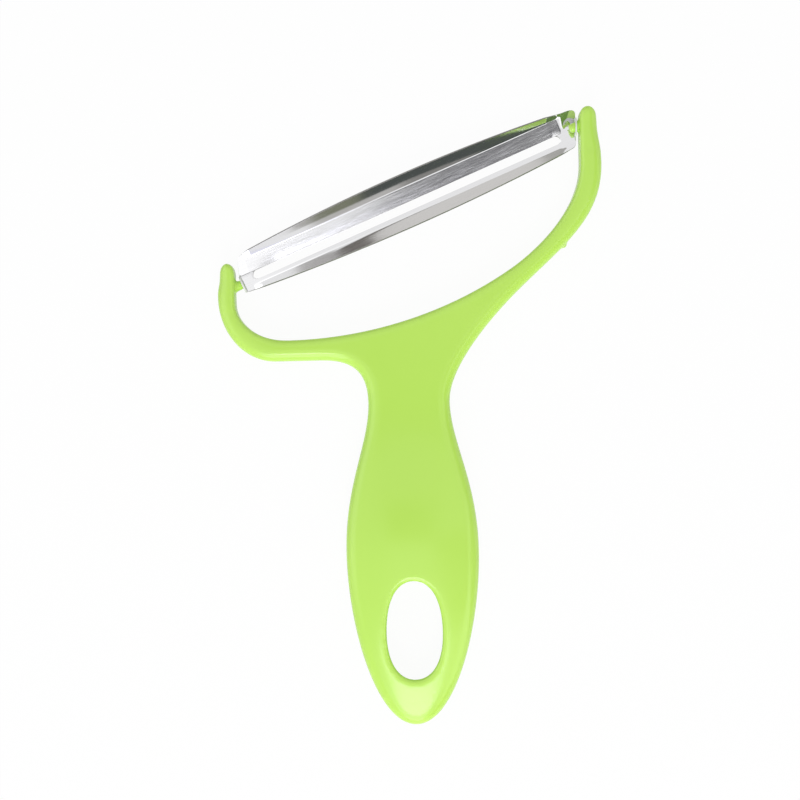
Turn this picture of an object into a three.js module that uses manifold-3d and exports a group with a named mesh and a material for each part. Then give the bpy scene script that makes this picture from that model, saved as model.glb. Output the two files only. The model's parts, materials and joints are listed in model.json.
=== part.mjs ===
// Cabbage slicer: a one-piece moulded handle whose skewed fork carries a swivelling slotted blade.
// Millimetres, +Z up. It lies on its flat back, and +Y runs from the end of the grip to the blade.
import * as THREE from 'three';
import { mergeVertices } from 'three/addons/utils/BufferGeometryUtils.js';
import Module from 'manifold-3d';

const wasm = await Module();
wasm.setup();
const degree = Math.PI / 180;

// Grip, seen from the front
const gripLength = 102; // round end to neck
const gripWidth = 41.7; // across the belly
const bellyStation = 55; // round end to belly
const neckWidth = 25.7;
const endLead = 12.6; // handle lengths of the side's two curves
const lowerBellyLead = 24;
const upperBellyLead = 22;
const neckLead = 13;

// Grip, seen from the side
const endThickness = 8;
const bellyThickness = 13;
const headThickness = 9.4; // neck, head and arms
const crownDrop = 1.7; // fall of the domed front from its middle line to its sides
const crownEnd = 16; // half width below which the dome keeps its curve, towards the round end

// Rounding of the handle's edges
const outerEdge = 3.1; // where the hand meets it
const innerEdge = 1.3; // facing the blade
const tipEdge = 1.4; // at the arm tips

// Hang hole
const holeStation = 29.6; // round end to its widest line
const holeWidth = 17.4;
const holeUpper = 16.3; // widest line to its upper end
const holeLower = 14.8;
const holeFullness = 0.62; // handle length of its quarter curves, as a share of each half size
const holeEdge = 1;
const holeDraft = 1.5; // its back rim lies further out than its front rim by this

// Pivot line through both pegs
const pivotSkew = 23.9 * degree; // against the grip's square line
const armSpan = 120; // between the arms' inner faces along the line
const pivotReach = 61.6; // neck to the middle of the line
const pivotShift = 0.9; // middle of the line, to the right of the grip's middle
const pivotHeight = 5.9; // above the flat back

// Left arm and the stretch of head that it grows from
const leftArmWidth = 5.5;
const leftTipReach = 7.6; // peg to the top of the arm
const leftTipLean = 0.8; // the tip's outside leans in by this
const leftOuterDrop = 3; // peg down to where the outside starts to turn in
const leftInnerDrop = 5;
const leftOuterTurn = 17.6; // length of the turn along the head
const leftInnerTurn = 16;
const shoulderRise = 13.7; // neck to the lower edge of the head
const shoulderReach = 14.6; // neck's side to the start of its concave shoulder
const shoulderLead = 10.5; // handle lengths of that shoulder
const shoulderNeckLead = 9.4;
const headBand = 6.5; // width of the head at its lowest stretch

// Right arm and the slope that it grows from
const rightArmWidth = 6.8;
const rightTipReach = 5.8;
const rightTipLean = 1.3;
const rightBendDrop = 12; // peg down to where the arm starts to bend
const outerSlope = 43 * degree;
const outerSlopeBack = 26.4; // middle of the outer slope, in from the arm and down from its bend
const outerSlopeDrop = 38.8;
const innerSlope = 33.7 * degree;
const innerSlopeBack = 22.6;
const innerSlopeDrop = 32.7;
const neckSlopeLead = 10.6; // handle lengths of the outer curves, from the neck up
const lowerSlopeLead = 13;
const upperSlopeLead = 20;
const outerBendLead = 17;
const innerBendLead = 14.2; // and of the inner curves, from the arm down
const innerUpperLead = 10;
const innerLowerLead = 24;
const innerFootLead = 26;
const tipRound = 3.6; // length of both rounded arm tips
const tipFullness = 0.65; // handle length of a tip's curves, as a share of half its width
const quarterLead = 0.55; // handle length of a quarter curve, as a share of its size

// Pegs and the stub of the moulding's gate
const pegDiameter = 3.1;
const leftPegLength = 2.9; // past the arm's inner face
const rightPegLength = 3.4;
const pegChamfer = 0.4;
const gateDiameter = 2.6;
const gateRise = 1.1;
const gatePlace = 0.355; // share of the way along the right arm's outer bend

// Blade strip; widths are plan widths from the fold, which is the slot's far edge
const sheet = 0.55;
const slotWidth = 2.8;
const leftSlotMargin = 4.3; // blade's end to the slot's end, along the slot
const rightSlotMargin = 5.5;
const bladeSkew = 22.7 * degree; // slot line against the grip's square line
const farFlat = 4.7; // fold to the far crease
const nearFlat = 4.3;
const farWidth = 8.3; // fold to the far edge at mid-length
const farWidthLeft = 6;
const farWidthRight = 5.5;
const nearWidth = 7.9;
const nearWidthLeft = 5.3;
const nearWidthRight = 5.7;
const farTilt = 10 * degree;
const nearTilt = 12 * degree;
const farFlangeTilt = 38 * degree;
const nearFlangeTilt = 34 * degree;
const grindWidth = 4.2; // ground bevel along the cutting edge
const cuttingEdge = 0.15; // sheet left at the cutting edge
const leftCornerCut = 2; // slant of the far left corner
const cornerRound = 1.6;

// Ears that hang the blade on the pegs
const leftEarGap = 2.4; // arm to ear along the pivot line
const rightEarGap = 0.7;
const pivotDrop = 2.4; // pivot line to the fold
const pegClearance = 0.3;
const earMargin = 0.8; // steel round the peg hole

// Fineness of the facets
const edgeSteps = 6;
const rungSteps = 16; // facets across the front; an even number
const roundSteps = 20;

// Places that follow from the sizes above
const halfGrip = gripWidth / 2;
const halfNeck = neckWidth / 2;
const headBase = gripLength + shoulderRise;
const pivotMiddle = new THREE.Vector3(pivotShift, gripLength + pivotReach, pivotHeight);
const pivotLine = new THREE.Vector3(Math.cos(pivotSkew), Math.sin(pivotSkew), 0);
const leftPeg = pivotMiddle.clone().addScaledVector(pivotLine, -armSpan / 2);
const rightPeg = pivotMiddle.clone().addScaledVector(pivotLine, armSpan / 2);
const overcut = 2; // how far a cutter runs past a face

const point = (x, y) => new THREE.Vector2(x, y);
const bezier = (a, b, c, d) => new THREE.CubicBezierCurve(a, b, c, d);
const line = (a, b) => new THREE.LineCurve(a, b);
const polar = (from, length, angle) =>
  point(from.x + length * Math.cos(angle), from.y + length * Math.sin(angle));

// A closed surface as a solid that can be joined and cut
function toSolid(geometry) {
  const bare = new THREE.BufferGeometry();
  bare.setAttribute('position', geometry.getAttribute('position'));
  bare.setIndex(geometry.index);
  const merged = mergeVertices(bare, 1e-4);
  const all = merged.index.array;
  const corners = [];
  for (let i = 0; i < all.length; i += 3) {
    const [a, b, c] = [all[i], all[i + 1], all[i + 2]];
    if (a !== b && b !== c && c !== a) corners.push(a, b, c);
  }
  const vertProperties = new Float32Array(merged.getAttribute('position').array);
  const mesh = new wasm.Mesh({ numProp: 3, vertProperties, triVerts: new Uint32Array(corners) });
  return new wasm.Manifold(mesh);
}

function toGeometry(solid) {
  const mesh = solid.getMesh();
  const geometry = new THREE.BufferGeometry();
  geometry.setAttribute('position', new THREE.BufferAttribute(mesh.vertProperties, 3));
  geometry.setIndex(new THREE.BufferAttribute(mesh.triVerts, 1));
  geometry.computeVertexNormals();
  return geometry;
}

// A round pin from a start along a direction, with a chamfered tip
function roundPin(start, direction, length, diameter, chamfer) {
  const radius = diameter / 2;
  const profile = [
    point(0, 0), point(radius, 0), point(radius, length - chamfer), point(radius - chamfer, length),
    point(0, length),
  ];
  const latheAxis = new THREE.Vector3(0, 1, 0);
  const geometry = new THREE.LatheGeometry(profile, roundSteps);
  geometry.applyQuaternion(new THREE.Quaternion().setFromUnitVectors(latheAxis, direction));
  geometry.translate(start.x, start.y, start.z);
  return toSolid(geometry);
}

// Joins rings of equally many points, lowest first, into one closed surface.
// A cap lists the triangles that close its ring, as point numbers, and may add points of its own.
function stackRings(rings, bottomCap, topCap) {
  const count = rings[0].length;
  const places = rings.flat();
  const corners = [];
  for (let k = 0; k + 1 < rings.length; k += 1) {
    for (let i = 0; i < count; i += 1) {
      const a = k * count + i;
      const b = k * count + ((i + 1) % count);
      corners.push(a, b, b + count, a, b + count, a + count);
    }
  }
  corners.push(...bottomCap(places, 0));
  corners.push(...topCap(places, (rings.length - 1) * count));
  const geometry = new THREE.BufferGeometry().setFromPoints(places);
  geometry.setIndex(corners);
  return geometry;
}

// Triangles of a flat outline, counter-clockwise seen from above
function flatTriangles(outline) {
  return THREE.ShapeUtils.triangulateShape(outline, []).map(([a, b, c]) => {
    const across = outline[b].clone().sub(outline[a]).cross(outline[c].clone().sub(outline[a]));
    return across > 0 ? [a, b, c] : [a, c, b];
  });
}

// Flat cap of a ring that starts at a given point number
function flatCap(count, facingUp) {
  return (places, first) => {
    const ring = places.slice(first, first + count).map((p) => point(p.x, p.y));
    return flatTriangles(ring)
      .flatMap(([a, b, c]) => (facingUp ? [a, b, c] : [a, c, b]))
      .map((i) => i + first);
  };
}

// Height of the front: thin at the round end, thickest at the belly, even from the neck on
function frontAt(x, y) {
  const share = (value) => Math.min(Math.max(value, 0), 1);
  const fromEnd = Math.sin((Math.PI / 2) * share(y / bellyStation));
  const pastBelly = share((y - bellyStation) / (gripLength - bellyStation));
  const fromNeck = (1 + Math.cos(Math.PI * pastBelly)) / 2;
  const rise = y < bellyStation
    ? endThickness + (bellyThickness - endThickness) * fromEnd
    : headThickness + (bellyThickness - headThickness) * fromNeck;
  const domeWidth = (halfWidthAt(y) ** 6 + crownEnd ** 6) ** (1 / 6);
  return rise - crownDrop * fromNeck * (x / domeWidth) ** 2;
}

// One stretch of an outline, with the rounding of its edges from start to end
function stretch(curve, steps, startEdge, endEdge = startEdge) {
  return curve.getPoints(steps).map((p, i) => ({
    x: p.x,
    y: p.y,
    edge: startEdge + ((endEdge - startEdge) * i) / steps,
  }));
}

function joinStretches(stretches) {
  return stretches.flatMap((points, i) => (i === 0 ? points : points.slice(1)));
}

// Half width of the grip at a distance from its round end
function halfWidthAt(y) {
  const upper = gripEdge.findIndex((p) => p.y >= y);
  if (upper < 1) return upper < 0 ? halfNeck : 0;
  const [a, b] = [gripEdge[upper - 1], gripEdge[upper]];
  return THREE.MathUtils.mapLinear(y, a.y, b.y, a.x, b.x);
}

// Right side of the grip, from the round end up to the neck
function gripSide() {
  const end = point(0, 0);
  const belly = point(halfGrip, bellyStation);
  const neck = point(halfNeck, gripLength);
  const lower = bezier(end, point(endLead, 0), point(halfGrip, bellyStation - lowerBellyLead), belly);
  const upper = bezier(belly, point(halfGrip, bellyStation + upperBellyLead),
    point(halfNeck, gripLength - neckLead), neck);
  return joinStretches([stretch(lower, 32, outerEdge), stretch(upper, 24, outerEdge)]);
}

const gripEdge = gripSide();

// Outside of the right arm, from the middle of its slope to where it runs straight up
function rightArmOutside() {
  const outside = rightPeg.x + rightArmWidth;
  const bend = rightPeg.y - rightBendDrop;
  const slope = point(outside - outerSlopeBack, bend - outerSlopeDrop);
  return bezier(slope, polar(slope, upperSlopeLead, outerSlope), point(outside, bend - outerBendLead),
    point(outside, bend));
}

// Right arm, from the neck's right side round the tip to the middle of the inner slope
function rightArm() {
  const neck = point(halfNeck, gripLength);
  const inside = rightPeg.x;
  const outside = inside + rightArmWidth;
  const bend = rightPeg.y - rightBendDrop;
  const tipTop = rightPeg.y + rightTipReach;
  const tipFoot = tipTop - tipRound;
  const tipCurve = tipFoot + quarterLead * tipRound;
  const tipOutside = outside - rightTipLean;
  const tip = point((inside + tipOutside) / 2, tipTop);
  const tipLead = tipFullness * (tip.x - inside);
  const outerCurve = rightArmOutside();
  const slope = outerCurve.v0;
  const innerMiddle = point(inside - innerSlopeBack, bend - innerSlopeDrop);
  return joinStretches([
    stretch(bezier(neck, point(halfNeck, gripLength + neckSlopeLead),
      polar(slope, -lowerSlopeLead, outerSlope), slope), 16, outerEdge),
    stretch(outerCurve, 18, outerEdge),
    stretch(bezier(point(outside, bend), point(outside, (bend + tipFoot) / 2),
      point(tipOutside, (bend + tipFoot) / 2), point(tipOutside, tipFoot)), 5, outerEdge),
    stretch(bezier(point(tipOutside, tipFoot), point(tipOutside, tipCurve), point(tip.x + tipLead, tipTop),
      tip), 6, outerEdge, tipEdge),
    stretch(bezier(tip, point(tip.x - tipLead, tipTop), point(inside, tipCurve),
      point(inside, tipFoot)), 6, tipEdge, innerEdge),
    stretch(line(point(inside, tipFoot), point(inside, bend)), 1, innerEdge),
    stretch(bezier(point(inside, bend), point(inside, bend - innerBendLead),
      polar(innerMiddle, innerUpperLead, innerSlope), innerMiddle), 16, innerEdge),
  ]);
}

// Left arm, from the middle of the right arm's inner slope round the tip to the neck's left side
function leftArm(innerMiddle) {
  const neck = point(-halfNeck, gripLength);
  const inside = leftPeg.x;
  const outside = inside - leftArmWidth;
  const tipTop = leftPeg.y + leftTipReach;
  const tipFoot = tipTop - tipRound;
  const tipCurve = tipFoot + quarterLead * tipRound;
  const tipOutside = outside + leftTipLean;
  const tip = point((inside + tipOutside) / 2, tipTop);
  const tipLead = tipFullness * (inside - tip.x);
  const innerFoot = point(inside + leftInnerTurn, headBase + headBand);
  const innerTop = point(inside, leftPeg.y - leftInnerDrop);
  const innerRise = quarterLead * (innerTop.y - innerFoot.y);
  const outerTop = point(outside, leftPeg.y - leftOuterDrop);
  const outerFoot = point(outside + leftOuterTurn, headBase);
  const outerRise = quarterLead * (outerTop.y - headBase);
  const shoulder = point(-halfNeck - shoulderReach, headBase);
  return joinStretches([
    stretch(bezier(innerMiddle, polar(innerMiddle, -innerLowerLead, innerSlope),
      point(innerFoot.x + innerFootLead, innerFoot.y), innerFoot), 26, innerEdge),
    stretch(bezier(innerFoot, point(innerFoot.x - quarterLead * leftInnerTurn, innerFoot.y),
      point(inside, innerTop.y - innerRise), innerTop), 10, innerEdge),
    stretch(line(innerTop, point(inside, tipFoot)), 1, innerEdge),
    stretch(bezier(point(inside, tipFoot), point(inside, tipCurve), point(tip.x + tipLead, tipTop),
      tip), 6, innerEdge, tipEdge),
    stretch(bezier(tip, point(tip.x - tipLead, tipTop), point(tipOutside, tipCurve),
      point(tipOutside, tipFoot)), 6, tipEdge, outerEdge),
    stretch(bezier(point(tipOutside, tipFoot), point(tipOutside, (outerTop.y + tipFoot) / 2),
      point(outside, (outerTop.y + tipFoot) / 2), outerTop), 5, outerEdge),
    stretch(bezier(outerTop, point(outside, outerTop.y - outerRise),
      point(outerFoot.x - quarterLead * leftOuterTurn, headBase), outerFoot), 14, outerEdge),
    stretch(line(outerFoot, shoulder), 1, outerEdge),
    stretch(bezier(shoulder, point(shoulder.x + shoulderLead, headBase),
      point(-halfNeck, gripLength + shoulderNeckLead), neck), 12, outerEdge),
  ]);
}

// Inward unit normal of each point of a closed counter-clockwise outline
function inwardNormals(outline) {
  return outline.map((p, i) => {
    const before = outline.at(i - 1);
    const after = outline[(i + 1) % outline.length];
    return point(before.y - after.y, after.x - before.x).normalize();
  });
}

// Rings of a slab with rounded edges; a negative edge flares outward, as the cutter of a hole does
function slabRings(outline) {
  const normals = inwardNormals(outline);
  const ring = (angle, upper) => outline.map((p, i) => {
    const inset = p.edge * (1 - Math.cos(angle));
    const depth = Math.abs(p.edge) * (1 - Math.sin(angle));
    const x = p.x + normals[i].x * inset;
    const y = p.y + normals[i].y * inset;
    return new THREE.Vector3(x, y, upper ? frontAt(x, y) - depth : depth);
  });
  const angles = Array.from({ length: edgeSteps + 1 }, (_, k) => ((Math.PI / 2) * k) / edgeSteps);
  const lower = angles.toReversed().map((angle) => ring(angle, false));
  return [...lower, ...angles.map((angle) => ring(angle, true))];
}

// The front of the grip as domed rungs across it, with the head as one flat face above the neck
function frontCap(count, neckIndex) {
  return (places, first) => {
    const corners = [];
    const rungAt = (j) => {
      const left = first + count - j;
      const right = first + j;
      const between = [];
      for (let i = 1; i < rungSteps; i += 1) {
        const spot = places[left].clone().lerp(places[right], i / rungSteps);
        spot.z += frontAt(spot.x, spot.y) - frontAt(places[left].x, places[left].y);
        between.push(places.push(spot) - 1);
      }
      return [left, ...between, right];
    };
    let rung = rungAt(1);
    for (let i = 0; i < rungSteps; i += 1) corners.push(first, rung[i + 1], rung[i]);
    for (let j = 2; j < neckIndex; j += 1) {
      const next = rungAt(j);
      for (let i = 0; i < rungSteps; i += 1) {
        corners.push(rung[i], rung[i + 1], next[i + 1], rung[i], next[i + 1], next[i]);
      }
      rung = next;
    }
    const head = [];
    for (let i = neckIndex; i <= count - neckIndex; i += 1) head.push(first + i);
    const half = rungSteps / 2;
    for (let i = 0; i < rungSteps; i += 1) {
      corners.push(rung[i], rung[i + 1], i < half ? head.at(-1) : head[0]);
    }
    corners.push(rung[half], head[0], head.at(-1));
    const flat = head.map((i) => point(places[i].x, places[i].y));
    for (const triangle of flatTriangles(flat)) corners.push(...triangle.map((i) => head[i]));
    return corners;
  };
}

// Egg-shaped hang hole through the lower grip, with rounded rims
function hangHole() {
  const half = holeWidth / 2;
  const across = half * holeFullness;
  const end = (reach) => point(0, holeStation + reach);
  const side = (sign) => point(sign * half, holeStation);
  const quarter = (sign, reach) => bezier(side(sign),
    point(sign * half, holeStation + reach * holeFullness),
    point(sign * across, holeStation + reach), end(reach));
  const fromSide = (curve) => stretch(curve, 16, -holeEdge);
  const toSide = (curve) => fromSide(curve).toReversed();
  const outline = joinStretches([
    toSide(quarter(1, -holeLower)), fromSide(quarter(1, holeUpper)),
    toSide(quarter(-1, holeUpper)), fromSide(quarter(-1, -holeLower)),
  ]).slice(0, -1);
  const normals = inwardNormals(outline);
  const backOutline = outline.map((p, i) => ({
    ...p,
    x: p.x - normals[i].x * holeDraft,
    y: p.y - normals[i].y * holeDraft,
  }));
  const backRings = slabRings(backOutline).slice(0, edgeSteps + 1);
  // The front rim's last facet runs on through the front, so that it ends in a clean line
  const frontRings = slabRings(outline).slice(edgeSteps + 1, -1);
  const runOut = frontRings.at(-1).map((p, i) => p.clone().lerp(frontRings.at(-2)[i], -1));
  const below = backRings[0].map((p) => new THREE.Vector3(p.x, p.y, -overcut));
  const above = runOut.map((p) => new THREE.Vector3(p.x, p.y, bellyThickness + overcut));
  const rings = [below, ...backRings, ...frontRings, runOut, above];
  const count = outline.length;
  return toSolid(stackRings(rings, flatCap(count, false), flatCap(count, true)));
}

// A peg that grows out of the middle of its arm
function peg(face, armWidth, direction, length) {
  const root = armWidth / 2;
  const start = face.clone().addScaledVector(direction, -root);
  return roundPin(start, direction, root + length, pegDiameter, pegChamfer);
}

// Stub that the moulding's gate leaves on the outside of the right arm
function gateStub() {
  const curve = rightArmOutside();
  const spot = curve.getPoint(gatePlace);
  const along = curve.getTangent(gatePlace);
  const outward = new THREE.Vector3(along.y, -along.x, 0);
  const start = new THREE.Vector3(spot.x, spot.y, headThickness / 2)
    .addScaledVector(outward, -gateDiameter);
  return roundPin(start, outward, gateDiameter + gateRise, gateDiameter, gateRise);
}

function buildHandle() {
  const left = gripEdge.slice(1, -1).toReversed().map((p) => ({ ...p, x: -p.x }));
  const rightFork = rightArm();
  const innerMiddle = point(rightFork.at(-1).x, rightFork.at(-1).y);
  const outline = [...joinStretches([gripEdge, rightFork, leftArm(innerMiddle)]), ...left];
  const count = outline.length;
  const frontFace = frontCap(count, gripEdge.length - 1);
  return toSolid(stackRings(slabRings(outline), flatCap(count, false), frontFace))
    .subtract(hangHole())
    .add(peg(leftPeg, leftArmWidth, pivotLine, leftPegLength))
    .add(peg(rightPeg, rightArmWidth, pivotLine.clone().negate(), rightPegLength))
    .add(gateStub());
}

// The blade's own frame has X along the slot, Y away from the grip and the fold at height zero
const fold = slotWidth / 2;
const pegTurn = pivotSkew - bladeSkew; // pivot line against the slot line
const pegAcross = (armSpan / 2) * Math.sin(pegTurn);
const pegAlong = (armSpan / 2) * Math.cos(pegTurn);
const armLean = Math.tan(bladeSkew);
const leftEnd = -pegAlong + leftEarGap; // square to the slot
const rightEndAt = (y) => pegAlong - rightEarGap + (y - pegAcross) * armLean; // parallel to the arm
const slotStart = leftEnd + leftSlotMargin + fold; // centres of the slot's round ends
const slotEnd = rightEndAt(0) - rightSlotMargin - fold;

// A section drawn across the blade, drawn out along it from a start, and leaning with its width
function alongBlade(section, start, length, lean = 0) {
  const geometry = new THREE.ExtrudeGeometry(section, { depth: length, bevelEnabled: false });
  geometry.translate(0, 0, start);
  const turn = new THREE.Matrix4().makeBasis(
    new THREE.Vector3(0, 1, 0), new THREE.Vector3(0, 0, 1), new THREE.Vector3(1, 0, 0));
  const shear = new THREE.Matrix4().makeShear(0, 0, lean, 0, 0, 0);
  return toSolid(geometry.applyMatrix4(turn).applyMatrix4(shear));
}

// An outline drawn on the blade's plan, extruded through its whole height
function throughBlade(shape, curveSegments) {
  const tall = 2 * (pivotDrop + farWidth + nearWidth);
  const geometry = new THREE.ExtrudeGeometry(shape, { depth: tall, bevelEnabled: false, curveSegments });
  geometry.translate(0, 0, -tall / 2);
  return toSolid(geometry);
}

// Height of the strip's upper face on either side of the fold
function stripFaceAt(y) {
  const near = fold - y;
  const far = y - fold;
  const nearFlange = Math.max(near - nearFlat, 0) * (Math.tan(nearFlangeTilt) - Math.tan(nearTilt));
  const farFlange = Math.max(far - farFlat, 0) * (Math.tan(farFlangeTilt) - Math.tan(farTilt));
  return near > 0 ? near * Math.tan(nearTilt) + nearFlange : far * Math.tan(farTilt) + farFlange;
}

// Section of the folded strip; the plan outline trims it to its real width
function stripSection() {
  const near = fold - nearWidth - overcut;
  const far = fold + farWidth + overcut;
  const top = [near, fold - nearFlat, fold, fold + farFlat, far].map((y) => point(y, stripFaceAt(y)));
  const tilts = [-nearFlangeTilt, -nearTilt, farTilt, farFlangeTilt];
  const under = top.map((p, i) => {
    const before = tilts[Math.max(i - 1, 0)];
    const after = tilts[Math.min(i, tilts.length - 1)];
    const mean = (before + after) / 2;
    const reach = sheet / Math.cos((after - before) / 2);
    return point(p.x + reach * Math.sin(mean), p.y - reach * Math.cos(mean));
  });
  return new THREE.Shape([...under, ...top.toReversed()]);
}

// Plan outline of the strip: bowed long edges, a square left end and a right end along the arm
function stripOutline() {
  const nearLeft = point(leftEnd, fold - nearWidthLeft);
  const nearRight = point(rightEndAt(fold - nearWidthRight), fold - nearWidthRight);
  const farRight = point(rightEndAt(fold + farWidthRight), fold + farWidthRight);
  const farLeft = point(leftEnd + leftCornerCut, fold + farWidthLeft);
  const leftFold = point(leftEnd, fold);
  const nearBow = point(0, 2 * (fold - nearWidth) - (nearLeft.y + nearRight.y) / 2);
  const farBow = point(0, 2 * (fold + farWidth) - (farLeft.y + farRight.y) / 2);
  const beside = (corner, other) => other.clone().sub(corner).setLength(cornerRound).add(corner);
  const shape = new THREE.Shape();
  const roundCorner = (before, corner, after) => {
    const into = beside(corner, before);
    const outOf = beside(corner, after);
    shape.lineTo(into.x, into.y);
    shape.quadraticCurveTo(corner.x, corner.y, outOf.x, outOf.y);
  };
  const bowedEdge = (control, corner) => {
    const end = beside(corner, control);
    shape.quadraticCurveTo(control.x, control.y, end.x, end.y);
  };
  const start = beside(nearLeft, nearBow);
  shape.moveTo(start.x, start.y);
  bowedEdge(nearBow, nearRight);
  roundCorner(nearBow, nearRight, farRight);
  roundCorner(nearRight, farRight, farBow);
  bowedEdge(farBow, farLeft);
  roundCorner(farBow, farLeft, leftFold);
  shape.lineTo(leftFold.x, leftFold.y);
  roundCorner(leftFold, nearLeft, nearBow);
  return shape;
}

// Round-ended slot between the cutting edge and its guide
function slotOutline() {
  const shape = new THREE.Shape();
  shape.absarc(slotEnd, 0, fold, -Math.PI / 2, Math.PI / 2);
  shape.absarc(slotStart, 0, fold, Math.PI / 2, (3 * Math.PI) / 2);
  return shape;
}

// What grinding takes off the upper face along the cutting edge
function grindSection() {
  const back = fold + grindWidth;
  const front = fold - slotWidth;
  const depth = sheet - cuttingEdge;
  const slope = (stripFaceAt(back) + depth) / grindWidth;
  return new THREE.Shape([
    point(front, -depth - slotWidth * slope),
    point(back, stripFaceAt(back)),
    point(back, stripFaceAt(back) + overcut),
    point(front, overcut),
  ]);
}

// An ear that stands on an end of the strip round its peg
function ear(pegY, start, lean) {
  const half = pegDiameter / 2 + pegClearance + earMargin;
  const creases = [fold - nearFlat, fold, fold + farFlat];
  const between = creases.filter((y) => y > pegY - half && y < pegY + half);
  const foot = [pegY - half, ...between, pegY + half];
  const shape = new THREE.Shape(foot.map((y) => point(y, stripFaceAt(y) - sheet / 2)));
  shape.lineTo(pegY + half, pivotDrop);
  shape.absarc(pegY, pivotDrop, half, 0, Math.PI);
  return alongBlade(shape, start, sheet, lean);
}

// Clearance hole for a peg, along the pivot line
function pegHole(side) {
  const inward = new THREE.Vector3(-side * Math.cos(pegTurn), -side * Math.sin(pegTurn), 0);
  const start = new THREE.Vector3(side * pegAlong, side * pegAcross, pivotDrop);
  const length = Math.max(leftEarGap, rightEarGap) + pegDiameter + overcut;
  return roundPin(start, inward, length, pegDiameter + 2 * pegClearance, 0);
}

function buildBlade() {
  return alongBlade(stripSection(), -armSpan, 2 * armSpan)
    .intersect(throughBlade(stripOutline(), 28))
    .subtract(alongBlade(grindSection(), slotStart, slotEnd - slotStart))
    .subtract(throughBlade(slotOutline(), 8))
    .add(ear(-pegAcross, leftEnd, 0))
    .add(ear(pegAcross, rightEndAt(0) - sheet, armLean))
    .subtract(pegHole(-1))
    .subtract(pegHole(1));
}

const plastic = new THREE.MeshStandardMaterial({ color: 0xb4e45c, roughness: 0.32, metalness: 0 });
const steel = new THREE.MeshStandardMaterial({ color: 0xb9bcbc, roughness: 0.22, metalness: 1 });

const handle = new THREE.Mesh(toGeometry(buildHandle()), plastic);
handle.name = 'handle';

const blade = new THREE.Mesh(toGeometry(buildBlade()), steel);
blade.name = 'blade';
const bladeSeat = new THREE.Group();
bladeSeat.position.set(pivotMiddle.x, pivotMiddle.y, pivotMiddle.z - pivotDrop);
bladeSeat.rotation.z = bladeSkew;
bladeSeat.add(blade);

// The origin is the middle of the bottom of the whole part
const assembly = new THREE.Group();
assembly.add(handle, bladeSeat);
const box = new THREE.Box3().setFromObject(assembly, true);
const middle = box.getCenter(new THREE.Vector3());
assembly.position.set(-middle.x, -middle.y, -box.min.z);

const slicer = new THREE.Group();
slicer.add(assembly);
export default slicer;
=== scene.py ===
"""Looks of the cabbage slicer: the moulded handle, the pressed blade and a plain studio stage."""

import json
import math

import bpy
import numpy as np
from bpy.props import FloatProperty, FloatVectorProperty, IntProperty, PointerProperty
from mathutils import Matrix, Vector


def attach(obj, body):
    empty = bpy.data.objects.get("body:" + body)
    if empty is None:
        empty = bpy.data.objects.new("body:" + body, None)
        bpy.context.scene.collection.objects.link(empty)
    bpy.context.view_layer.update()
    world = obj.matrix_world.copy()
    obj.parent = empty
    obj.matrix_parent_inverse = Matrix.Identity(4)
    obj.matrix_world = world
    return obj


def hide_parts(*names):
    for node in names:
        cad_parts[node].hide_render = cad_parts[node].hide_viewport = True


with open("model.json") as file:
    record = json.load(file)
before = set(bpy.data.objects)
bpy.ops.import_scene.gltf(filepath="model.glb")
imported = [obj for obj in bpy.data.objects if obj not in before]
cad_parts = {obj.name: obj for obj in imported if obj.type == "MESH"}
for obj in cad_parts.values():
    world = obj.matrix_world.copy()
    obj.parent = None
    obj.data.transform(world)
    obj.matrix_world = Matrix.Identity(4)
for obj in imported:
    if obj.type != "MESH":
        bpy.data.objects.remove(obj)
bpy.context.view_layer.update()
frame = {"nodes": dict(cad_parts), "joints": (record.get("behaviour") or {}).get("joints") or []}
pivot = Vector(frame["joints"][0]["pos_m"])

bl_info = {
    "name": "Cabbage slicer looks",
    "version": (1, 0, 0),
    "blender": (4, 5, 0),
    "location": "View3D > Sidebar > Slicer",
    "description": "Models the handle and the blade of a cabbage slicer and sets a plain studio stage",
    "category": "Object",
}

MM = 0.001
HAIR = 0.01 * MM  # below any length that shows

# How the handle's domed front is eased, where its sink marks lie and how its green flows
FRONT_FACING = 0.965  # upward share of a normal from which it counts as the front's
FRONT_RUN = 0.025  # further upward share that brings the full easing
WEIGHT_PASSES = 8  # blurring of the eased stretch's rim
WEIGHT_STEPS = 20
SINK_MARKS = ((-57.5, 34.5), (57.2, 83.6))  # in millimetres
DARK_FLOW = (0.95, 0.975, 0.88)  # shares of the plain green
PALE_FLOW = (1.04, 1.02, 1.12)

# The blade's grid, bends and finishes
TAB_STATIONS = 12
TAB_CROWDING = 1.5  # draws a tab's stations towards the blade's end
SLOT_STATIONS = 170
BANDS = 5  # near flange, near strip, slot, far strip and far flange
SLOT_BAND = 2
BAND_ROWS = 12
CREASE_LIMIT = 0.8  # share of the way from the slot to the edge that no crease passes
SLOPE_PER_TILT = 1.6  # slope that a flange gains for each radian of further tilt
GRIND_HOLLOW = 1.4  # power of the ground bevel's hollow curve
FACING_UP = 0.5  # least upward share of a normal on the upper face
EAR_FACETS = 64
SMOOTH_ANGLE = math.radians(40)
RIM_ANGLE = math.radians(50)
# The sheared rim is rough steel in a dark tone that is painted shade along the cut edges
POLISHED, GROUND, SHEARED_SHADED = 0, 1, 2  # places in the list of finishes
LINE_STRETCH = (0.04, 1.0, 1.0)  # draws the steel's lines out along X
LINE_DENSITY = 3500.0
SPECK_DENSITY = 1300.0
SPECK_TONE = (0.95, 0.95, 0.95, 1.0)

# The floor, and where a shining card's light starts and ends its fall, in shares of its width
FLOOR_SIZE = 8.0
FLOOR_DROP = 0.4 * MM
FALL_START = 0.25
FALL_END = 0.5


def length(name, description, millimetres):
    """A settable length, stored in metres."""
    return FloatProperty(name=name, description=description, default=millimetres * MM,
                         subtype="DISTANCE", unit="LENGTH", precision=5)


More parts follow.
